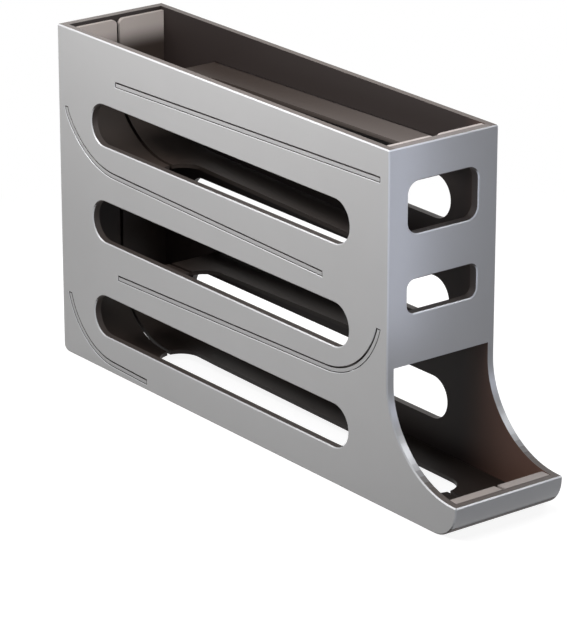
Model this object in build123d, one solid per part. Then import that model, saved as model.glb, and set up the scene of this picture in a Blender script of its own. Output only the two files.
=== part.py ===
from build123d import *
import os
from dataclasses import dataclass
from math import cos, radians, sin, tan

# Four-tier gravity rack for eggs, open at the top, with a scoop at the front.
# Two tall side panels carry eight bent tracks, a left and a right one on each tier.
# A front panel, a back panel and a front lip tie the two sides together.
# All sizes are in millimetres. Pieces are drawn with X measured from the back face,
# Y from the middle of the width and Z from the shelf, and are written out with X
# measured from mid-length instead, so that the origin lies under the middle of the rack.

# Overall size
BODY_LENGTH = 302.5
SCOOP_REACH = 57.5
WIDTH = 74.0
TROUGH_DEPTH = 20.0

# Walls
SIDE_THICKNESS = 4.5
END_THICKNESS = 5.5
EDGE_CHAMFER = 0.7
HOLE_CHAMFER = 0.6
BACK_FOOT_ROUND = 4.5

# Scoop and lip
LIP_HEIGHT = 19.6
LIP_FRONT_FLAT = 1.4
LIP_TOP_WIDTH = 4.9
LIP_FOOT_SETBACK = 3.8
SCOOP_LAND = 2.3
SCOOP_UPPER_RADIUS = 46.0
SCOOP_UPPER_TURN = 30.0

# Side slots, one beside each gap between two tiers
SLOT_END_MARGIN = 32.75
SLOT_HEIGHT = 24.8
SLOT_LIFT = 0.3

# Front panel: the open bay reaches this far above tier 3, and the windows have their own corners
BAY_RISE = 15.0
WINDOW_SIDE_MARGIN = 8.75
UPPER_WINDOW_HEIGHT = 29.0
UPPER_WINDOW_ROUND = 7.0
LOWER_WINDOW_HEIGHT = 19.0
LOWER_WINDOW_ROUND = 5.0
LOWER_WINDOW_RISE = 3.0

# Tracks
TIER_PITCH = 58.0
TRACK_THICKNESS = 2.4
TRACK_TILT = 1.3
TRACK_SPLIT = 2.2
LOWEST_TRACK_CLEARANCE = 2.0
BACKWARD_TIER_LIFT = 1.6
BACK_DROP_LENGTH = 48.5
FRONT_DROP_LENGTH = 47.0

# Risers, which turn up from one end of each tier
TIER_1_BEND = 2.0
TIER_1_RISER_TURN = 45.0
TIER_2_BEND = 53.8
TIER_2_RISER_TURN = 31.5
TIER_3_BEND = 46.5
TIER_3_RISER_TURN = 16.0
TIER_4_BEND = 45.3
TIER_4_RISER_TURN = 20.0
RISER_BEND = 12.0
RISER_CORNER_ROUND = 3.0
TIER_1_RISER_DROP = 0.3
TIER_2_RISER_DROP = 2.0
LOWER_RISER_RISE = 40.0

# Openings along the middle of each tier, with the bridges left at their two ends
TRACK_OPENING_WIDTH = 24.8
BEND_BRIDGE = 4.0
TIER_1_BEND_BRIDGE = 22.0
FREE_END_BRIDGE = 20.0
SCOOP_BRIDGE = 22.0

# Grooves through the side panels, and the tongues of the tracks that lie in them
GROOVE_HEADROOM = 0.6
GROOVE_CHAMFER = 0.3
TONGUE_CHAMFER = 0.25
TIER_1_GROOVE_OVERRUN = 1.0
TIER_2_GROOVE_RISE = 31.9
TIER_3_GROOVE_RISE = 36.0
TIER_4_GROOVE_RISE = 33.9
TIER_4_GROOVE_END = 84.0

# Bottom tier: the ledges that carry its edges, and its end, turned up behind the lip
FOOT_LEDGE_WIDTH = 3.0
SCOOP_FLOOR_CLEARANCE = 1.0
SCOOP_TRACK_TOP_WIDTH = 6.1

# Round pegs that locate the front panel, the back panel and the lip in the sides
PEG_RADIUS = 1.4
PEG_SOCKET_SKIN = 1.75
END_PEG_MARGIN = 14.0
LIP_PEG_DEPTH = 2.2
LIP_PEG_ANGLES = (10.0, 45.0)

# Clearances, and the distance within which two faces count as one
TRACK_FIT = 0.3
RISER_GAP = 0.6
PEG_FIT = 0.25
TOUCH = 0.001

# Places that follow from the sizes above
LENGTH = BODY_LENGTH + SCOOP_REACH
HALF_WIDTH = WIDTH / 2
INNER_HALF = HALF_WIDTH - SIDE_THICKNESS
BODY_MIDDLE = BODY_LENGTH / 2
RISER_FACE = END_THICKNESS + RISER_GAP + TRACK_THICKNESS
TIER_4_HEIGHT = TRACK_THICKNESS + LOWEST_TRACK_CLEARANCE
TIER_3_HEIGHT = TIER_4_HEIGHT + TIER_PITCH + BACKWARD_TIER_LIFT
TIER_2_HEIGHT = TIER_4_HEIGHT + 2 * TIER_PITCH
TIER_1_HEIGHT = TIER_3_HEIGHT + 2 * TIER_PITCH
HEIGHT = TIER_1_HEIGHT + TROUGH_DEPTH
LOWER_RISER_TOP = TIER_3_HEIGHT + LOWER_RISER_RISE
BACK_FREE_END = BODY_LENGTH - RISER_FACE - BACK_DROP_LENGTH
FRONT_FREE_END = BODY_LENGTH - RISER_FACE - FRONT_DROP_LENGTH
LIP_INNER_FACE = LENGTH - LIP_TOP_WIDTH
LIP_UNDERSIDE_ROUND = LIP_HEIGHT - LIP_FRONT_FLAT - EDGE_CHAMFER
SCOOP_TRACK_OUTER = LIP_INNER_FACE - TRACK_FIT
SCOOP_TRACK_INNER = SCOOP_TRACK_OUTER - SCOOP_TRACK_TOP_WIDTH
SCOOP_UNDERSIDE_RADIUS = LIP_HEIGHT - SCOOP_FLOOR_CLEARANCE
SCOOP_FLOOR_RADIUS = SCOOP_UNDERSIDE_RADIUS - TRACK_THICKNESS
LIP_INNER_RADIUS = SCOOP_UNDERSIDE_RADIUS + TRACK_FIT
LIP_CURVE_MIDDLE = LIP_INNER_FACE - LIP_INNER_RADIUS
SOCKET_DEPTH = SIDE_THICKNESS - PEG_SOCKET_SKIN
FRONT_PANEL_FOOT = TIER_3_HEIGHT + BAY_RISE


@dataclass
class Tier:
    """One tier, drawn with its riser at the back. A backward tier is then turned end for end.

    Its height is that of its rolling surface, or of the line that goes on from it, at mid-body.
    """

    number: int
    height: float
    bend: float
    riser_bend: float
    riser_turn: float
    riser_top: float
    groove_top: float
    free_end: float
    bend_bridge: float
    backward: bool


TIERS = [
    Tier(
        number=1, height=TIER_1_HEIGHT, bend=TIER_1_BEND, riser_bend=TIER_1_BEND,
        riser_turn=TIER_1_RISER_TURN, riser_top=HEIGHT - TIER_1_RISER_DROP, groove_top=HEIGHT,
        free_end=BACK_FREE_END, bend_bridge=TIER_1_BEND_BRIDGE, backward=True,
    ),
    Tier(
        number=2, height=TIER_2_HEIGHT, bend=TIER_2_BEND, riser_bend=RISER_BEND,
        riser_turn=TIER_2_RISER_TURN, riser_top=HEIGHT - TIER_2_RISER_DROP,
        groove_top=TIER_2_HEIGHT + TIER_2_GROOVE_RISE,
        free_end=FRONT_FREE_END, bend_bridge=BEND_BRIDGE, backward=False,
    ),
    Tier(
        number=3, height=TIER_3_HEIGHT, bend=TIER_3_BEND, riser_bend=RISER_BEND,
        riser_turn=TIER_3_RISER_TURN, riser_top=LOWER_RISER_TOP,
        groove_top=TIER_3_HEIGHT + TIER_3_GROOVE_RISE,
        free_end=BACK_FREE_END, bend_bridge=BEND_BRIDGE, backward=True,
    ),
    Tier(
        number=4, height=TIER_4_HEIGHT, bend=TIER_4_BEND, riser_bend=RISER_BEND,
        riser_turn=TIER_4_RISER_TURN, riser_top=LOWER_RISER_TOP,
        groove_top=TIER_4_HEIGHT + TIER_4_GROOVE_RISE,
        free_end=TIER_4_GROOVE_END, bend_bridge=BEND_BRIDGE, backward=False,
    ),
]
TOP_TIER = TIERS[0]
BOTTOM_TIER = TIERS[-1]


def slab(profile, near, far):
    """A profile of length and height, as a solid between two places across the width."""
    return extrude(Plane.XZ.offset(-far) * profile, far - near)


def block(x_low, x_high, z_low, z_high):
    """A rectangle of length and height, given by its four sides."""
    middle = Pos((x_low + x_high) / 2, (z_low + z_high) / 2)
    return middle * Rectangle(x_high - x_low, z_high - z_low)


def swap_sides(piece):
    """The piece's mirror image on the other side of the rack."""
    return mirror(piece, about=Plane.XZ)


def swap_ends(piece):
    """The piece with the two ends of the body exchanged."""
    return mirror(piece, about=Plane.YZ.offset(BODY_MIDDLE))


def walk(start, heading, moves, shift):
    """Edges of a course of straights and left-hand bends, carried to its left by shift.

    Each move is (length, 0) for a straight, or (radius, turn in degrees) for a bend.
    """
    angle = radians(heading)
    point = Vector(*start) + Vector(-sin(angle), cos(angle)) * shift
    edges = []
    for size, turn in moves:
        direction = Vector(cos(angle), sin(angle))
        if turn:
            edge = JernArc(point, direction, size - shift, turn)
        else:
            edge = Line(point, point + direction * size)
        edges.append(edge)
        point = edge @ 1
        angle += radians(turn)
    return edges


def band(start, heading, moves, above, below):
    """The face between two lines that follow one course, above and below it."""
    upper = walk(start, heading, moves, above)
    lower = walk(start, heading, moves, -below)
    first_cap = Line(upper[0] @ 0, lower[0] @ 0)
    last_cap = Line(upper[-1] @ 1, lower[-1] @ 1)
    return make_face(upper + lower + [first_cap, last_cap])


def run_height(tier, x):
    """Height of a tier's rolling surface at a distance from the end where its riser stands."""
    return tier.height + (BODY_MIDDLE - x) * tan(radians(TRACK_TILT))


def bend_foot(tier):
    """Where a tier's main bend runs into its straight run, and its drop from the riser."""
    steep = radians(90 - tier.riser_turn)
    tilt = radians(TRACK_TILT)
    reach = tier.riser_bend * (1 - sin(steep)) + tier.bend * (sin(steep) - sin(tilt))
    drop = tier.riser_bend * cos(steep) + tier.bend * (cos(tilt) - cos(steep))
    return RISER_FACE + reach, drop


def track_band(tier, above, below):
    """A band along a tier's course: down its riser, round its bends and along its run."""
    foot, drop = bend_foot(tier)
    riser = tier.riser_top - (run_height(tier, foot) + drop)
    run = (BODY_LENGTH - foot) / cos(radians(TRACK_TILT))
    moves = [
        (riser, 0),
        (tier.riser_bend, tier.riser_turn),
        (tier.bend, 90 - TRACK_TILT - tier.riser_turn),
        (run, 0),
    ]
    return band((RISER_FACE, tier.riser_top), -90, moves, above, below)


def groove_band(tier, above, below, shrink):
    """The part of a tier's course that lies in the side panel's groove.

    Above and below are the room left on the two faces of the track, and shrink draws in both ends.
    """
    depth = TRACK_THICKNESS + below
    top = tier.groove_top - shrink
    end = tier.free_end - shrink
    if tier is TOP_TIER:
        start = RISER_FACE - TIER_1_GROOVE_OVERRUN + shrink
        run = [(BODY_LENGTH / cos(radians(TRACK_TILT)), 0)]
        whole = band((0, run_height(tier, 0)), -TRACK_TILT, run, above, depth)
        return whole & block(start, end, 0, top)
    return track_band(tier, above, depth) & block(0, end, 0, top)


def left_groove(tier):
    """The space of a tier's groove through the left panel, flared at the outer face."""
    profile = groove_band(tier, GROOVE_HEADROOM, TRACK_FIT, 0)
    mouth = offset(profile, GROOVE_CHAMFER, kind=Kind.INTERSECTION)
    outer_plane = Plane.XZ.offset(HALF_WIDTH)
    flare_end = Plane.XZ.offset(HALF_WIDTH - GROOVE_CHAMFER)
    flare = loft([(outer_plane * mouth).face(), (flare_end * profile).face()], ruled=True)
    groove = slab(profile, -HALF_WIDTH, -INNER_HALF) + flare
    if tier.backward:
        groove = swap_ends(groove)
    return groove


def left_tongue(tier):
    """The edge of a track that lies in the left groove, bevelled round its outer face."""
    tongue = slab(groove_band(tier, 0, 0, TRACK_FIT), -HALF_WIDTH + TRACK_FIT, -INNER_HALF + TRACK_FIT)
    return chamfer(tongue.faces().sort_by(Axis.Y)[0].edges(), TONGUE_CHAMFER)


def underside_at_groove_end():
    """Height of the bottom tier's underside where its grooves end."""
    return run_height(BOTTOM_TIER, TIER_4_GROOVE_END) - TRACK_THICKNESS / cos(radians(TRACK_TILT))


def scoop_run_profile():
    """The bottom tier from the end of its groove, along its ledges and up behind the lip."""
    groove_end = (TIER_4_GROOVE_END, run_height(BOTTOM_TIER, TIER_4_GROOVE_END))
    groove_end_below = (TIER_4_GROOVE_END, underside_at_groove_end())
    floor_end = (SCOOP_TRACK_INNER - SCOOP_FLOOR_RADIUS, LIP_HEIGHT - SCOOP_FLOOR_RADIUS)
    underside_end = (SCOOP_TRACK_OUTER - SCOOP_UNDERSIDE_RADIUS, SCOOP_FLOOR_CLEARANCE)
    floor_bend = JernArc(floor_end, (1, 0), SCOOP_FLOOR_RADIUS, 90)
    underside_bend = JernArc(underside_end, (1, 0), SCOOP_UNDERSIDE_RADIUS, 90)
    run = Polyline(underside_end, groove_end_below, groove_end, floor_end)
    land = Line(floor_bend @ 1, underside_bend @ 1)
    return make_face([floor_bend, underside_bend, run, land])


def opening_profile(tier):
    """Plan of the opening along a tier's middle, half of it in each track."""
    foot, _ = bend_foot(tier)
    low = foot + tier.bend_bridge
    high = tier.free_end - FREE_END_BRIDGE
    if tier is BOTTOM_TIER:
        high = SCOOP_TRACK_INNER - SCOOP_FLOOR_RADIUS - SCOOP_BRIDGE
    return Pos((low + high) / 2, 0) * SlotOverall(high - low, TRACK_OPENING_WIDTH)


def left_track(tier):
    """A tier's left track: the strip between the panels, and its tongue in the left groove."""
    strip = track_band(tier, 0, TRACK_THICKNESS)
    if tier is BOTTOM_TIER:
        strip = (strip & block(0, TIER_4_GROOVE_END, 0, HEIGHT)) + scoop_run_profile()
    else:
        strip = strip & block(0, tier.free_end - TRACK_FIT, 0, HEIGHT)
    track = slab(strip, -INNER_HALF + TRACK_FIT, -TRACK_SPLIT / 2)
    top_corner = track.edges().filter_by(Axis.X).group_by(Axis.Z)[-1].sort_by(Axis.Y)[-1]
    track = fillet(top_corner, RISER_CORNER_ROUND)
    track += left_tongue(tier)
    track -= extrude(opening_profile(tier), HEIGHT)
    if tier.backward:
        track = swap_ends(track)
    return track


def side_outline():
    """The outline of a side panel, with the scoop and the lip at the front."""
    turn = radians(SCOOP_UPPER_TURN)
    lower_reach = SCOOP_REACH - SCOOP_LAND - SCOOP_UPPER_RADIUS * (1 - cos(turn))
    lower_radius = lower_reach / cos(turn)
    underside = JernArc((LENGTH - LIP_UNDERSIDE_ROUND, 0), (1, 0), LIP_UNDERSIDE_ROUND, 90)
    lower_bend = JernArc((LENGTH - SCOOP_LAND, LIP_HEIGHT), (-1, 0), lower_radius, SCOOP_UPPER_TURN - 90)
    upper_bend = JernArc(lower_bend @ 1, lower_bend % 1, SCOOP_UPPER_RADIUS, -SCOOP_UPPER_TURN)
    foot_corner = JernArc((0, BACK_FOOT_ROUND), (0, -1), BACK_FOOT_ROUND, 90)
    bevel_foot = (LENGTH, LIP_HEIGHT - EDGE_CHAMFER)
    bevel_top = (LENGTH - EDGE_CHAMFER, LIP_HEIGHT)
    lip = Polyline(underside @ 1, bevel_foot, bevel_top, lower_bend @ 0)
    body = Polyline(upper_bend @ 1, (BODY_LENGTH, HEIGHT), (0, HEIGHT), foot_corner @ 0)
    foot = Line(foot_corner @ 1, underside @ 0)
    return make_face([underside, lip, lower_bend, upper_bend, body, foot_corner, foot])


def end_peg_places(x, foot):
    """Middles of the pegs up an end panel: near its foot, half way and near its top."""
    return [(x, foot + END_PEG_MARGIN), (x, (foot + HEIGHT) / 2), (x, HEIGHT - END_PEG_MARGIN)]


def lip_peg_places():
    """Middles of the lip's pegs, inside its curved thickness."""
    reach = LIP_INNER_RADIUS + LIP_PEG_DEPTH
    places = []
    for angle in LIP_PEG_ANGLES:
        below = radians(angle)
        places.append((LIP_CURVE_MIDDLE + reach * cos(below), LIP_HEIGHT - reach * sin(below)))
    return places


FRONT_PEGS = end_peg_places(BODY_LENGTH - END_THICKNESS / 2, FRONT_PANEL_FOOT)
BACK_PEGS = end_peg_places(END_THICKNESS / 2, 0)
LIP_PEGS = lip_peg_places()


def pegs(places, radius, length):
    """Round pegs that reach outwards from the inner face of the left panel."""
    profile = Sketch() + [Pos(*place) * Circle(radius) for place in places]
    return slab(profile, -INNER_HALF - length, -INNER_HALF)


def with_pegs(panel, places):
    """A cross panel with its pegs at both sides."""
    left = pegs(places, PEG_RADIUS, SOCKET_DEPTH - PEG_FIT)
    return panel + left + swap_sides(left)


def foot_ledge():
    """The wedge along the foot of the left panel that carries the bottom tier's edge."""
    start = TIER_4_GROOVE_END + TRACK_FIT
    end = SCOOP_TRACK_OUTER - SCOOP_UNDERSIDE_RADIUS
    fall = (underside_at_groove_end() - SCOOP_FLOOR_CLEARANCE) / (end - TIER_4_GROOVE_END)
    start_height = underside_at_groove_end() - TRACK_FIT * fall
    corners = [(start, 0), (end, 0), (end, SCOOP_FLOOR_CLEARANCE), (start, start_height)]
    return slab(make_face(Polyline(corners, close=True)), -INNER_HALF, -INNER_HALF + FOOT_LEDGE_WIDTH)


def outer_edges(edges):
    """The edges that lie wholly in the left panel's outer face."""
    return ShapeList([edge for edge in edges if abs(edge.bounding_box().max.Y + HALF_WIDTH) < TOUCH])


def left_side_panel():
    """The left wall: bevelled outside, with its slots, track grooves, ledge and peg sockets."""
    panel = slab(side_outline(), -HALF_WIDTH, -INNER_HALF)
    rim = outer_edges(panel.edges())
    top_ends = panel.edges().filter_by(Axis.Y).group_by(Axis.Z)[-1]
    panel = chamfer(rim + top_ends, EDGE_CHAMFER)
    for tier in TIERS[1:]:
        level = TIER_4_HEIGHT + (len(TIERS) - tier.number) * TIER_PITCH
        middle = level + TIER_PITCH / 2 + SLOT_LIFT
        profile = Pos(BODY_MIDDLE, middle) * SlotOverall(BODY_LENGTH - 2 * SLOT_END_MARGIN, SLOT_HEIGHT)
        cut = panel - slab(profile, -HALF_WIDTH, -INNER_HALF)
        panel = chamfer(outer_edges(new_edges(panel, combined=cut)), HOLE_CHAMFER)
    for tier in TIERS:
        panel -= left_groove(tier)
    panel += foot_ledge()
    for places in (FRONT_PEGS, BACK_PEGS, LIP_PEGS):
        panel -= pegs(places, PEG_RADIUS + PEG_FIT, SOCKET_DEPTH)
    return panel


def with_window(panel, foot, height, corner):
    """The front panel with one more window cut straight through it, bevelled at the front."""
    width = 2 * (INNER_HALF - WINDOW_SIDE_MARGIN)
    profile = Pos(0, foot + height / 2) * RectangleRounded(width, height, corner)
    hole = extrude(Plane.YZ.offset(BODY_LENGTH - END_THICKNESS) * profile, END_THICKNESS)
    cut = panel - hole
    added = new_edges(panel, combined=cut)
    rim = ShapeList([edge for edge in added if abs(edge.bounding_box().min.X - BODY_LENGTH) < TOUCH])
    return chamfer(rim, HOLE_CHAMFER)


def front_panel():
    """The front wall above the open bay, with its two windows."""
    profile = block(BODY_LENGTH - END_THICKNESS, BODY_LENGTH, FRONT_PANEL_FOOT, HEIGHT)
    panel = slab(profile, -INNER_HALF, INNER_HALF)
    front_edges = panel.faces().sort_by(Axis.X)[-1].edges().filter_by(Axis.Y).sort_by(Axis.Z)
    panel = chamfer(front_edges[-1], EDGE_CHAMFER)
    upper_foot = TIER_1_HEIGHT - UPPER_WINDOW_HEIGHT
    panel = with_window(panel, upper_foot, UPPER_WINDOW_HEIGHT, UPPER_WINDOW_ROUND)
    lower_foot = LOWER_RISER_TOP + LOWER_WINDOW_RISE
    panel = with_window(panel, lower_foot, LOWER_WINDOW_HEIGHT, LOWER_WINDOW_ROUND)
    return with_pegs(panel, FRONT_PEGS)


def back_panel():
    """The back wall, whose foot is rounded and whose top is bevelled like the sides."""
    profile = side_outline() & block(0, END_THICKNESS, 0, HEIGHT)
    panel = slab(profile, -INNER_HALF, INNER_HALF)
    top_edges = panel.edges().filter_by(Axis.Y).group_by(Axis.Z)[-1].sort_by(Axis.X)
    panel = chamfer(top_edges[0], EDGE_CHAMFER)
    return with_pegs(panel, BACK_PEGS)


def front_lip():
    """The curved fence between the sides that ends the scoop."""
    reach = block(LIP_CURVE_MIDDLE + LIP_FOOT_SETBACK, LENGTH, 0, LIP_HEIGHT)
    hollow = Pos(LIP_CURVE_MIDDLE, LIP_HEIGHT) * Circle(LIP_INNER_RADIUS)
    profile = (side_outline() & reach) - hollow
    return with_pegs(slab(profile, -INNER_HALF, INNER_HALF), LIP_PEGS)


def build():
    """Every piece of the rack by name, with X still measured from the back face."""
    left_panel = left_side_panel()
    pieces = {
        "left_side_panel": left_panel,
        "right_side_panel": swap_sides(left_panel),
        "front_panel": front_panel(),
        "back_panel": back_panel(),
        "front_lip": front_lip(),
    }
    for tier in TIERS:
        track = left_track(tier)
        pieces[f"tier_{tier.number}_left_track"] = track
        pieces[f"tier_{tier.number}_right_track"] = swap_sides(track)
    return pieces


def main():
    """Write each piece with the origin under the middle of the rack."""
    os.makedirs("parts", exist_ok=True)
    for name, piece in build().items():
        export_step(Pos(-LENGTH / 2, 0, 0) * piece, f"parts/{name}.step")


main()
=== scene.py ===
# %% [markdown]
# # Gravity egg dispenser
#
# The real thing is a narrow rack for eggs, moulded in plastic. Two tall side walls carry four
# sloping tiers. What is put in at the top rolls down each tier, drops at its end onto the next
# one, and stops in the scoop at the front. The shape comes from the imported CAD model, so this
# file is about what the eye sees: camera, studio, and the finish of each moulding.
#
# All lengths are in metres. X runs along the rack and is positive at the scoop, Y runs across
# it, and Z is up from the shelf.

import bpy
import numpy as np
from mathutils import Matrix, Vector


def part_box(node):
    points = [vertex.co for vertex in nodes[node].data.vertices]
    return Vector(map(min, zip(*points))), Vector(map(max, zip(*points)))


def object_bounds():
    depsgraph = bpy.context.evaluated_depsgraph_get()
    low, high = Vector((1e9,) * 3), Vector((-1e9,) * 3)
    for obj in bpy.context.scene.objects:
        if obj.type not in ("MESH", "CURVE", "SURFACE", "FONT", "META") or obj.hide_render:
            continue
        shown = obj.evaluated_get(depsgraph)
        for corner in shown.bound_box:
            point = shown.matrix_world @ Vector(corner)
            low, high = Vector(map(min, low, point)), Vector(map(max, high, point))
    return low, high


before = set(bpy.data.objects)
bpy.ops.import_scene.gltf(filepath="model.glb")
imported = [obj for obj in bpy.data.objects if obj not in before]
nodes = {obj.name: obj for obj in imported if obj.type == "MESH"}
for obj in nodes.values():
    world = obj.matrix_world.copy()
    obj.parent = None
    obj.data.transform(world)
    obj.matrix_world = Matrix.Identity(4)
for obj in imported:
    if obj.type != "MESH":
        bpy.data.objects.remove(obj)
cad_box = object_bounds()
scene = bpy.context.scene
for name in sorted(nodes):
    print(f"{name}: {len(nodes[name].data.polygons)} triangles")

# %% [markdown]
# The camera stands to the front left of the rack and a little above it, about two metres
# away, with a long lens, so that parallel edges almost stay parallel. It could be placed by
# turning it by hand. Here it is given the place it stands in and the point it looks at, and
# its turn follows from the two, because those are the numbers that a photographer would note.
# The film width and the lens length are in millimetres, as on a real camera.

# %% Camera
CAMERA_PLACE = (1.5235, -1.1824, 0.7780)
CAMERA_AIM = (0.0332, -0.0369, 0.0846)
LENS_LENGTH = 211.9
FILM_WIDTH = 36.0
NEAREST_SEEN = 0.05
FARTHEST_SEEN = 50.0


def turn_towards(place, aim):
    """The turn that makes a camera or a lamp at a place look at a point."""
    return (Vector(aim) - Vector(place)).to_track_quat("-Z", "Y")


camera_data = bpy.data.cameras.new("camera")
camera_data.lens = LENS_LENGTH
camera_data.sensor_width = FILM_WIDTH
camera_data.clip_start = NEAREST_SEEN
camera_data.clip_end = FARTHEST_SEEN
camera = bpy.data.objects.new("camera", camera_data)
camera.location = CAMERA_PLACE
camera.rotation_mode = "QUATERNION"
camera.rotation_quaternion = turn_towards(CAMERA_PLACE, CAMERA_AIM)
scene.collection.objects.link(camera)
scene.camera = camera
distance = (Vector(CAMERA_AIM) - Vector(CAMERA_PLACE)).length
print("camera stands", round(distance, 3), "m from its aim")

# %% [markdown]
# The materials and the studio are small graphs of nodes. Written out link by link they would
# fill pages, so a few helpers keep them readable. One adds a node and fills in its sockets,
# one does a sum, and one fades from 0 to 1, which is how every mask below is made.

# %% Node helpers
def add_node(tree, kind, label, **values):
    """Add a node of a kind. Values are socket names with underscores for spaces."""
    node = tree.nodes.new(kind)
    node.label = label
    for key, value in values.items():
        node.inputs[key.replace("_", " ")].default_value = value
    return node


def math_node(tree, operation, first, second=None):
    """A Math node: the operation applied to one or two numbers or sockets. Gives its output."""
    node = tree.nodes.new("ShaderNodeMath")
    node.operation = operation
    for socket, value in zip(node.inputs, (first, second)):
        if value is None:
            continue
        if isinstance(value, (int, float)):
            socket.default_value = value
        else:
            tree.links.new(value, socket)
    return node.outputs[0]


def fade(tree, value, start, end):
    """0 where value is at start, 1 at end, and a smooth S-curve between them."""
    node = tree.nodes.new("ShaderNodeMapRange")
    node.interpolation_type = "SMOOTHSTEP"
    tree.links.new(value, node.inputs["Value"])
    node.inputs["From Min"].default_value = start
    node.inputs["From Max"].default_value = end
    return node.outputs["Result"]


print("helpers: add_node, math_node, fade")

# %% [markdown]
# Every graph begins and ends alike. A material begins with the place of each point, which is
# the same in all views and when the rack is turned. It ends at an output node. The ground and
# the world behind it also ask who is looking, because white paper seen by the camera must not
# become a lamp for the rack.

# %% Begin and end a graph
def new_material(name):
    """An empty material. Gives the material, its node tree and the place of each point."""
    material = bpy.data.materials.new(name)
    material.use_nodes = True
    tree = material.node_tree
    tree.nodes.clear()
    return material, tree, tree.nodes.new("ShaderNodeTexCoord").outputs["Object"]


def seen_directly(tree):
    """1 for what the camera, mirrors and glass see, 0 for light on its way to a matt face."""
    path = tree.nodes.new("ShaderNodeLightPath")
    seen = math_node(tree, "MAXIMUM", path.outputs["Is Camera Ray"], path.outputs["Is Glossy Ray"])
    return math_node(tree, "MAXIMUM", seen, path.outputs["Is Transmission Ray"])


def mixed_shaders(tree, share, first, second):
    """First shader where share is 0, second where it is 1. Gives its output."""
    node = tree.nodes.new("ShaderNodeMixShader")
    for socket, source in zip(node.inputs, (share, first, second)):
        tree.links.new(source, socket)
    return node.outputs[0]


def end_graph(tree, kind, shader):
    """Link a shader to the surface of an output node of a kind."""
    output = tree.nodes.new(kind)
    tree.links.new(shader, output.inputs["Surface"])


print("helpers: new_material, seen_directly, mixed_shaders, end_graph")

# %% [markdown]
# The picture has a white ground. A floor that is only painted white still comes out grey,
# because a lamp never lights it evenly, and it would throw much light up at the rack. Near the
# rack this floor is matt grey, which takes the rack's soft shadow and throws little light
# back. For what the camera and mirrors see it is lifted to a pale tone. Farther out it turns
# into plain white by its own distance from the middle.

# %% Floor finish
SHADOW_REACH = (0.20, 0.45)
FLOOR_GREY = (0.34, 0.34, 0.34, 1.0)
FLOOR_LIFT = 0.90
PLAIN_WHITE = (1.0, 1.0, 1.0, 1.0)

floor_material, tree, place = new_material("studio_floor")
from_middle = tree.nodes.new("ShaderNodeVectorMath")
from_middle.operation = "LENGTH"
tree.links.new(place, from_middle.inputs[0])
far_away = fade(tree, from_middle.outputs["Value"], *SHADOW_REACH)
seen = seen_directly(tree)
matt = add_node(tree, "ShaderNodeBsdfDiffuse", "matt grey", Color=FLOOR_GREY)
lift = add_node(tree, "ShaderNodeEmission", "lift for the camera", Color=PLAIN_WHITE)
tree.links.new(math_node(tree, "MULTIPLY", seen, FLOOR_LIFT), lift.inputs["Strength"])
near_floor = tree.nodes.new("ShaderNodeAddShader")
tree.links.new(matt.outputs[0], near_floor.inputs[0])
tree.links.new(lift.outputs[0], near_floor.inputs[1])
white = add_node(tree, "ShaderNodeEmission", "plain white", Color=PLAIN_WHITE, Strength=1.0)
turns_white = math_node(tree, "MULTIPLY", far_away, seen)
floor_shader = mixed_shaders(tree, turns_white, near_floor.outputs[0], white.outputs[0])
end_graph(tree, "ShaderNodeOutputMaterial", floor_shader)
print("floor turns white from", SHADOW_REACH[0], "to", SHADOW_REACH[1], "m")

# %% [markdown]
# The floor itself is one flat disc. A square plate would do, but a disc ends equally far away in
# every view. Its edge is the cosine and sine of evenly spaced angles, times the radius.

# %% Floor disc
FLOOR_RADIUS = 6.0
FLOOR_CORNERS = 96

angles = np.linspace(0, 2 * np.pi, FLOOR_CORNERS, endpoint=False)
rim = np.stack([np.cos(angles), np.sin(angles), np.zeros_like(angles)], axis=1) * FLOOR_RADIUS
floor_mesh = bpy.data.meshes.new("studio_floor")
floor_mesh.from_pydata(rim.tolist(), [], [list(range(FLOOR_CORNERS))])
floor_mesh.materials.append(floor_material)
floor = bpy.data.objects.new("studio_floor", floor_mesh)
scene.collection.objects.link(floor)
print("floor radius", FLOOR_RADIUS)

# %% [markdown]
# The world is what light comes from beyond the lamps, and what the camera sees beyond the
# floor. The camera, mirrors and glass get plain white. Everything else gets a very dim and
# slightly blue light, which stands for the walls of a studio and keeps the shadows open.

# %% World
FILL_LEVEL = 0.02
FILL_COLOUR = (0.95, 0.97, 1.0, 1.0)

world = bpy.data.worlds.new("studio_world")
world.use_nodes = True
scene.world = world
tree = world.node_tree
tree.nodes.clear()
fill = add_node(tree, "ShaderNodeBackground", "fill", Color=FILL_COLOUR, Strength=FILL_LEVEL)
ground = add_node(tree, "ShaderNodeBackground", "white", Color=PLAIN_WHITE, Strength=1.0)
world_shader = mixed_shaders(tree, seen_directly(tree), fill.outputs[0], ground.outputs[0])
end_graph(tree, "ShaderNodeOutputWorld", world_shader)
print("fill level", FILL_LEVEL)

# %% [markdown]
# Soft lamps do the rest. The key is a long strip beside the left wall and above it, so that
# wall is brightest under its rim and fades towards the shelf. The rake is a slim, slightly
# blue strip just in front of the near corner, and its light rakes across the front wall. The
# front lamp stands low and close to the lip, so the lip gets more of it than the wall above.
# The trough lamp hangs over the open top, and the right and back lamps light the walls that
# the camera doesn't see. One lamp over the camera would flatten all this.

# %% Lamps
WARM = (1.0, 0.985, 0.97)
WHITE = (1.0, 1.0, 1.0)
COOL = (0.78, 0.83, 1.0)


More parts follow.
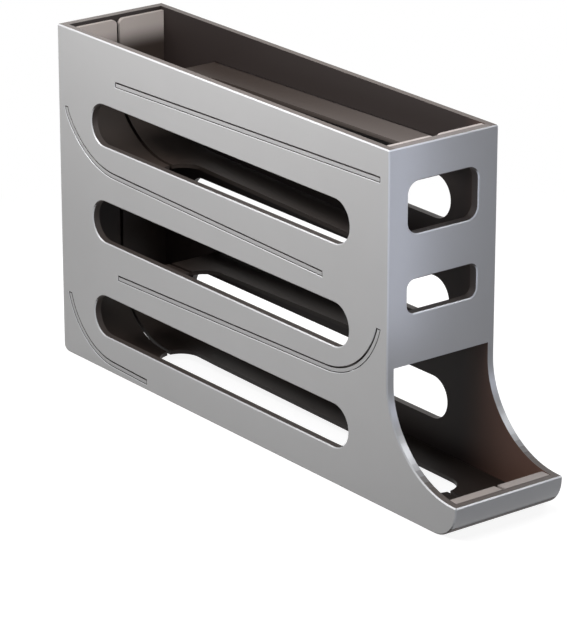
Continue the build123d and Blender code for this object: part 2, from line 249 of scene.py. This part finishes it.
def area_lamp(name, place, aim, width, height, power, colour, only_gloss=False):
    """A rectangular soft lamp at a place, facing a point. Power is in watts."""
    data = bpy.data.lights.new(name, "AREA")
    data.shape = "RECTANGLE"
    data.size = width
    data.size_y = height
    data.energy = power
    data.color = colour
    lamp = bpy.data.objects.new(name, data)
    lamp.location = place
    lamp.rotation_mode = "QUATERNION"
    lamp.rotation_quaternion = turn_towards(place, aim)
    lamp.visible_camera = False
    lamp.visible_diffuse = not only_gloss
    scene.collection.objects.link(lamp)
    print(name, "at", place, "gives", power, "W")


area_lamp("key", place=(-0.04, -0.25, 0.37), aim=(-0.04, -0.037, 0.14),
          width=0.55, height=0.08, power=1.72, colour=WARM)
area_lamp("rake", place=(0.1515, -0.039, 0.188), aim=(0.1225, 0.0, 0.188),
          width=0.012, height=0.19, power=0.034, colour=COOL)
area_lamp("front", place=(0.50, -0.02, 0.03), aim=(0.18, 0.0, 0.03),
          width=0.30, height=0.20, power=0.23, colour=COOL)
area_lamp("trough", place=(0.06, 0.0, 0.44), aim=(-0.17, 0.0, 0.18),
          width=0.08, height=0.07, power=0.6, colour=WHITE)
area_lamp("right", place=(-0.10, 0.90, 0.45), aim=(0.0, 0.0, 0.10),
          width=0.60, height=0.40, power=3.5, colour=WHITE)
area_lamp("back", place=(-0.90, 0.20, 0.42), aim=(-0.18, 0.0, 0.10),
          width=0.40, height=0.40, power=3.1, colour=WHITE)

# %% [markdown]
# Three more lamps only draw the edges: one the rim of the left wall, one the top edge of the
# lip and one the edges of the scoop. They stand where a bevel, like a small mirror, throws
# their light at the camera. Their diffuse light is switched off, so that the faces beside the
# bevels keep their own shading. Very light paint on the edges would show from every side, and
# a real edge only glints from some.

# %% Edge lamps
CREAM = (1.0, 0.93, 0.86)

area_lamp("left_rim", place=(-0.80, -0.42, 0.80), aim=(0.0, 0.0, 0.15),
          width=0.25, height=0.25, power=0.8, colour=CREAM, only_gloss=True)
area_lamp("lip_rim", place=(0.388, 0.30, 0.466), aim=(0.18, 0.0, 0.02),
          width=0.12, height=0.12, power=0.9, colour=WHITE, only_gloss=True)
area_lamp("scoop_rim", place=(1.12, 0.70, 0.26), aim=(0.15, 0.0, 0.06),
          width=0.20, height=0.40, power=2.6, colour=COOL, only_gloss=True)

# %% [markdown]
# Every moulding is satin plastic. Seen close up, such a surface is not flat: the spark-eroded
# mould leaves a fine grain, and the spray follows it. An image of that grain would have to be
# wrapped round each wall. Noise that reads the place of each point in space needs no
# wrapping, and it runs across all walls at one scale. A second, much broader noise makes the
# colour a few per cent lighter and darker, because no large moulding is quite even.

# %% Satin grain
GRAIN_SIZE = 0.0009
GRAIN_HEIGHT = 0.000012
GRAIN_DETAIL = 2.0
MOTTLE_SIZE = 0.03
MOTTLE_DETAIL = 3.0


def satin_grain(tree, place, shader):
    """Small bumps: noise of GRAIN_SIZE, GRAIN_HEIGHT high, on a shader's normal."""
    noise = add_node(tree, "ShaderNodeTexNoise", "grain",
                     Scale=1.0 / GRAIN_SIZE, Detail=GRAIN_DETAIL)
    tree.links.new(place, noise.inputs["Vector"])
    bump = add_node(tree, "ShaderNodeBump", "grain height", Strength=1.0, Distance=GRAIN_HEIGHT)
    tree.links.new(noise.outputs["Fac"], bump.inputs["Height"])
    tree.links.new(bump.outputs["Normal"], shader.inputs["Normal"])


def mottle(tree, place, colour, depth):
    """A colour times 1 + 2 * depth * (noise - 0.5), with noise of MOTTLE_SIZE."""
    noise = add_node(tree, "ShaderNodeTexNoise", "mottle",
                     Scale=1.0 / MOTTLE_SIZE, Detail=MOTTLE_DETAIL)
    tree.links.new(place, noise.inputs["Vector"])
    swing = math_node(tree, "SUBTRACT", noise.outputs["Fac"], 0.5)
    gain = math_node(tree, "MULTIPLY", swing, 2 * depth)
    scale = tree.nodes.new("ShaderNodeVectorMath")
    scale.operation = "SCALE"
    tree.links.new(colour, scale.inputs[0])
    tree.links.new(math_node(tree, "ADD", gain, 1.0), scale.inputs["Scale"])
    return scale.outputs[0]


print("grain", GRAIN_SIZE, "m across, mottle", MOTTLE_SIZE, "m across")

# %% [markdown]
# Two tones meet on one wall: the grey spray outside and the painted shade on the inner faces. A
# wall could be cut into faces with a material each, but the edge between them would be hard.
# Mixing inside one material, by a share from 0 to 1, gives an edge as soft as the spray's own.

# %% Mixing by a share
def mixed_colours(tree, share, first, second):
    """First where share is 0, second where it is 1. Each is a colour or a socket."""
    node = tree.nodes.new("ShaderNodeMix")
    node.data_type = "RGBA"
    tree.links.new(share, node.inputs[0])
    for socket, value in ((node.inputs[6], first), (node.inputs[7], second)):
        if isinstance(value, tuple):
            socket.default_value = value
        else:
            tree.links.new(value, socket)
    return node.outputs[2]


def mixed_numbers(tree, share, first, second):
    """First where share is 0, second where it is 1, as a number."""
    node = tree.nodes.new("ShaderNodeMix")
    tree.links.new(share, node.inputs[0])
    node.inputs[2].default_value = first
    node.inputs[3].default_value = second
    return node.outputs[0]


print("helpers: mixed_colours, mixed_numbers")

# %% [markdown]
# The walls are sprayed a satin, faintly metallic grey on the outside, and their inner faces are
# painted nearly black as shade.
# To know where the spray lands, it helps to know the planes that the walls lie in. They could
# be typed in, but most are measured here on the pieces, so that they can't disagree with
# them. BEVEL is a little more than the widest bevel on the pieces, and SLACK is the short
# way over which one finish gives way to the next at a plane.

# %% Planes of the walls
BEVEL = 0.0008
SIDE_WALL = 0.0045
END_WALL = 0.0055
SLACK = 0.0002

OUTER_FACE = cad_box[1].y
INNER_FACE = OUTER_FACE - SIDE_WALL
RIM_TOP = cad_box[1].z
BODY_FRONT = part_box("front_panel")[1].x
BODY_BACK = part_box("back_panel")[0].x
print("outer faces at", round(OUTER_FACE, 4), "and rim at", round(RIM_TOP, 4))

# %% [markdown]
# A mask is a number for each point, 1 where a finish lies and 0 where it doesn't. Each one
# here is put together from two kinds of facts: where the point is, and which way its surface
# faces. Masks are joined as in speech: both this and that, or either this or that.

# %% Putting masks together
def parts_of(tree, vector):
    """The X, Y and Z parts of a vector socket."""
    axes = tree.nodes.new("ShaderNodeSeparateXYZ")
    tree.links.new(vector, axes.inputs[0])
    return axes.outputs


def both(tree, first, second):
    """1 only where both masks are 1: their product."""
    return math_node(tree, "MULTIPLY", first, second)


def either(tree, first, second):
    """1 where at least one of two masks is 1: the larger one."""
    return math_node(tree, "MAXIMUM", first, second)


def outward(tree, place, normal):
    """How squarely a surface faces out of the rack sideways.

    It is 1 on an outer side face, 0 where the surface runs across, and -1 on an inner face:
    the Y part of the normal times the sign of Y.
    """
    side_sign = math_node(tree, "SIGN", place["Y"])
    return math_node(tree, "MULTIPLY", normal["Y"], side_sign)


def from_front_on(tree, place):
    """1 on the front wall's outer face with its bevels, and on all that lies before it."""
    return fade(tree, place["X"], BODY_FRONT - BEVEL - SLACK, BODY_FRONT - BEVEL)


print("helpers: parts_of, both, either, outward, from_front_on")

# %% [markdown]
# The outer faces and their bevelled edges are sprayed grey, and the inner faces are painted nearly
# black as shade. The bevels are painted a little lighter than the faces, as a painted highlight,
# and a bevel that is turned down is left dark, as painted shade.
# Painting that by hand would need a mask for each wall. Here the masks are worked out, and
# they fit every wall at once.
#
# The pairs of numbers say where a mask starts and where it is full, measured on how the
# surface faces: 1 is square on, 0 is edge on, and below 0 it faces away.

# %% Spray on the outer faces
FACES_OUT = (0.2, 0.5)
OBLIQUE = (0.85, 0.75)
FACES_DOWN = (-0.2, -0.5)


def outer_masks(tree, place, normal):
    """Masks for full spray on the outer faces, less the down-turned bevels left dark as painted
    shade, and for the painted highlight on the bevels.
    """
    at_back = fade(tree, place["X"], BODY_BACK + BEVEL + SLACK, BODY_BACK + BEVEL)
    forward = both(tree, from_front_on(tree, place), normal["X"])
    backward = both(tree, at_back, math_node(tree, "MULTIPLY", normal["X"], -1.0))
    sideways = outward(tree, place, normal)
    facing = either(tree, sideways, either(tree, forward, backward))
    oblique = fade(tree, facing, *OBLIQUE)
    # Painted shade: a bevel that faces down is left dark.
    shaded_bevel = both(tree, oblique, fade(tree, normal["Z"], *FACES_DOWN))
    not_shaded_bevel = math_node(tree, "SUBTRACT", 1.0, shaded_bevel)
    full = both(tree, fade(tree, facing, *FACES_OUT), not_shaded_bevel)
    return {"full": full, "bevel": both(tree, full, oblique)}


print("masks on the outer faces: full, bevel")

# %% [markdown]
# The slots, the windows and the tops show the thickness of the walls. The walls of the slots and
# windows are painted dark grey, as painted shade a little lighter than the inner faces. The inner
# walls of the open bay over the lip are painted brown towards the open front, as painted bounce
# light, and this fades over a fixed depth on either side of the front wall's face. The flat top of
# the rim and of the lip is painted dark brown as shade, and the top of the front wall a little
# lighter. A second material on those faces could do the same, but these tones have soft ends in
# the middle of a face, where a material would have to stop hard.

# %% Painted shade and light in the thickness of the walls
FACES_UP = (0.75, 0.95)
# The depth over which the painted bounce light fades.
BOUNCE_LIGHT_DEPTH = 0.025


def thickness_masks(tree, place, normal):
    """Masks for painted shade on the walls of openings, painted bounce light in the bay, painted
    shade on flat tops, and the front wall's top.
    """
    across = math_node(tree, "ABSOLUTE", place["Y"])
    rim = fade(tree, place["Z"], RIM_TOP - SLACK, RIM_TOP - SLACK / 2)
    flat_top = fade(tree, normal["Z"], *FACES_UP)
    # Painted shade on the flat tops of the rim and the lip.
    top_shade = both(tree, either(tree, rim, from_front_on(tree, place)), flat_top)
    # Painted shade on the walls of slots, windows and the bay.
    past_side = fade(tree, across, INNER_FACE + SLACK / 2, INNER_FACE + SLACK)
    front_inner = BODY_FRONT - END_WALL
    past_front = fade(tree, place["X"], front_inner + SLACK / 2, front_inner + SLACK)
    between_sides = fade(tree, across, INNER_FACE - SLACK / 2, INNER_FACE - SLACK)
    in_front = both(tree, past_front, between_sides)
    return {
        "opening_shade": either(tree, past_side, in_front),
        "bounce_light": fade(tree, place["X"], BODY_FRONT - BOUNCE_LIGHT_DEPTH, BODY_FRONT + BOUNCE_LIGHT_DEPTH),
        "top_shade": top_shade,
        "front_top": both(tree, top_shade, both(tree, rim, in_front)),
    }


print("masks in the thickness: dust, drift, thin, front_top")

# %% [markdown]
# The finish of a wall is laid on in layers. It starts from the painted shade of the inner faces,
# and each mask puts its own colour over what is there. Shine follows the same masks: the spray is
# smoother than the inside and has a little metal in it. A stack of separate shaders could do this
# too, but one shader with mixed colours is quicker and exports as it looks.

# %% Colours and shine of the walls
SPRAY = (0.420, 0.420, 0.425, 1.0)
# Painted highlight: the bevels are painted lighter than the faces.
PAINTED_EDGE_HIGHLIGHT = (0.500, 0.510, 0.530, 1.0)
# Painted shade: the flat tops of the rim and the lip are painted dark brown.
PAINTED_SHADE_ON_TOPS = (0.085, 0.069, 0.062, 1.0)
# Painted shade on the front wall's top, lighter than on the other tops.
FRONT_TOP_PAINTED_SHADE = (0.135, 0.116, 0.108, 1.0)
# Painted shade on the walls of slots and windows, a little lighter than the inner faces.
PAINTED_SHADE_IN_OPENINGS = (0.050, 0.040, 0.036, 1.0)
# Painted bounce light: warm brown on the dark inner walls near the open front.
PAINTED_BOUNCE_LIGHT = (0.175, 0.098, 0.074, 1.0)
# Painted shade: the nearly black tone of the inner faces, and of the tongues in the grooves.
PAINTED_DEEP_SHADE = (0.012, 0.007, 0.006, 1.0)
WALL_MOTTLE = 0.03
WALL_SPECULAR = 0.40
SPRAY_METAL = 0.15
SPRAY_ROUGHNESS = 0.36
MOULDING_ROUGHNESS = 0.60


def finish_shader(tree, point, colour, sprayed, bare_roughness, specular):
    """A satin surface of a colour, faintly metallic where sprayed is 1, with its fine grain."""
    shader = add_node(tree, "ShaderNodeBsdfPrincipled", "satin", Specular_IOR_Level=specular)
    tree.links.new(colour, shader.inputs["Base Color"])
    roughness = mixed_numbers(tree, sprayed, bare_roughness, SPRAY_ROUGHNESS)
    tree.links.new(roughness, shader.inputs["Roughness"])
    tree.links.new(mixed_numbers(tree, sprayed, 0.0, SPRAY_METAL), shader.inputs["Metallic"])
    satin_grain(tree, point, shader)
    end_graph(tree, "ShaderNodeOutputMaterial", shader.outputs[0])


# The colour under the spray is painted shade.
print("spray colour", SPRAY[:3], "over painted shade", PAINTED_DEEP_SHADE[:3])

# %% [markdown]
# The colours go on in order. The painted bounce light and the painted shade of the openings come
# first, because the full spray covers them. The painted shade on the flat tops comes last, so that
# it lies over the openings' tone where they meet. The whole wall is then mottled at once, so that
# no border shows between its tones.

# %% Wall finish
def wall_finish(name):
    """Satin grey spray outside, and painted shade, nearly black, on the inner faces."""
    material, tree, point = new_material(name)
    place = parts_of(tree, point)
    normal = parts_of(tree, tree.nodes.new("ShaderNodeNewGeometry").outputs["True Normal"])
    outer = outer_masks(tree, place, normal)
    inner = thickness_masks(tree, place, normal)
    # Painted bounce light near the front, over the painted shade of the inner faces.
    colour = mixed_colours(tree, inner["bounce_light"], PAINTED_DEEP_SHADE, PAINTED_BOUNCE_LIGHT)
    colour = mixed_colours(tree, inner["opening_shade"], colour, PAINTED_SHADE_IN_OPENINGS)
    colour = mixed_colours(tree, outer["full"], colour, SPRAY)
    # Painted highlight along the outer bevels.
    colour = mixed_colours(tree, outer["bevel"], colour, PAINTED_EDGE_HIGHLIGHT)
    # Painted shade on the flat tops.
    colour = mixed_colours(tree, inner["top_shade"], colour, PAINTED_SHADE_ON_TOPS)
    # Lighter painted shade on the front wall's top.
    colour = mixed_colours(tree, inner["front_top"], colour, FRONT_TOP_PAINTED_SHADE)
    colour = mottle(tree, point, colour, WALL_MOTTLE)
    finish_shader(tree, point, colour, outer["full"], MOULDING_ROUGHNESS, WALL_SPECULAR)
    print(name, "has", len(tree.nodes), "nodes")
    return material


wall_material = wall_finish("satin_grey_spray_with_painted_shade")

# %% [markdown]
# The tracks are separate mouldings in a warm taupe. Near an opening they show it: the tops of the
# risers under the rim, and the track ends at the lip. Deeper in they are painted dark brown as
# shade, so the slots look dark. The tongues of the tracks lie in grooves through the side walls.
# Only the end face of a tongue is sprayed along with the wall, and the rest of it is painted dark
# as shade in the groove, so each groove reads as two fine dark lines and not as a coloured stripe.
# Track ends with a material of their own would add joints that the real ones don't show.

# %% Track finish
TAUPE = (0.42, 0.375, 0.355, 1.0)
# Painted shade: the tracks turn dark brown deeper in, away from the rim and the lip.
PAINTED_SHADE_BROWN = (0.034, 0.025, 0.021, 1.0)
RIM_SHADE_FADE = (0.022, 0.007)
LIP_SHADE_FADE = (0.035, 0.015)
LIP_FRONT = cad_box[1].x
TONGUE_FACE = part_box("tier_1_right_track")[1].y
TONGUE_SKIN = 0.00005
TRACK_MOTTLE = 0.04
TRACK_ROUGHNESS = 0.45
TRACK_SPECULAR = 0.20


def track_finish(name):
    """Taupe plastic near the rim and the lip, painted shade deeper in and on the tongues, which
    are sprayed at their ends.
    """
    material, tree, point = new_material(name)
    place = parts_of(tree, point)
    across = math_node(tree, "ABSOLUTE", place["Y"])
    # Taupe near the rim and the lip, and painted shade deeper in.
    near_rim = fade(tree, place["Z"], *(RIM_TOP - depth for depth in RIM_SHADE_FADE))
    near_lip = fade(tree, place["X"], *(LIP_FRONT - depth for depth in LIP_SHADE_FADE))
    tongue = fade(tree, across, INNER_FACE, INNER_FACE + SLACK)
    sprayed = fade(tree, across, TONGUE_FACE - TONGUE_SKIN, TONGUE_FACE - TONGUE_SKIN / 2)
    colour = mixed_colours(tree, either(tree, near_rim, near_lip), PAINTED_SHADE_BROWN, TAUPE)
    # Painted shade: the tongues are painted dark inside the grooves.
    colour = mixed_colours(tree, tongue, colour, PAINTED_DEEP_SHADE)
    colour = mixed_colours(tree, sprayed, colour, SPRAY)
    colour = mottle(tree, point, colour, TRACK_MOTTLE)
    finish_shader(tree, point, colour, sprayed, TRACK_ROUGHNESS, TRACK_SPECULAR)
    print(name, "has", len(tree.nodes), "nodes")
    return material


track_material = track_finish("taupe_satin_moulding")

# %% [markdown]
# The pieces themselves are already in the frame, at their true size, so nothing is modelled
# over them. Each one only gets its finish: the eight tracks wear the taupe, and the side
# walls, the front and back walls and the lip wear the sprayed grey. One material for all walls
# keeps their colour and grain even from wall to wall, as if sprayed in one go.

# %% Dress the frame
for name, node in nodes.items():
    finish = track_material if "track" in name else wall_material
    if len(node.material_slots) == 0:
        node.data.materials.append(finish)
    for material_slot in node.material_slots:
        material_slot.material = finish
    print(name, "wears", finish.name)

# %% [markdown]
# Blender's usual view, AgX, softens bright and strong colours like film. The plain Standard
# view shows a colour as it was written, which makes it easy to compare with the real plastic.

# %% Colours as they are written
scene.view_settings.view_transform = "Standard"
print("view transform", scene.view_settings.view_transform)
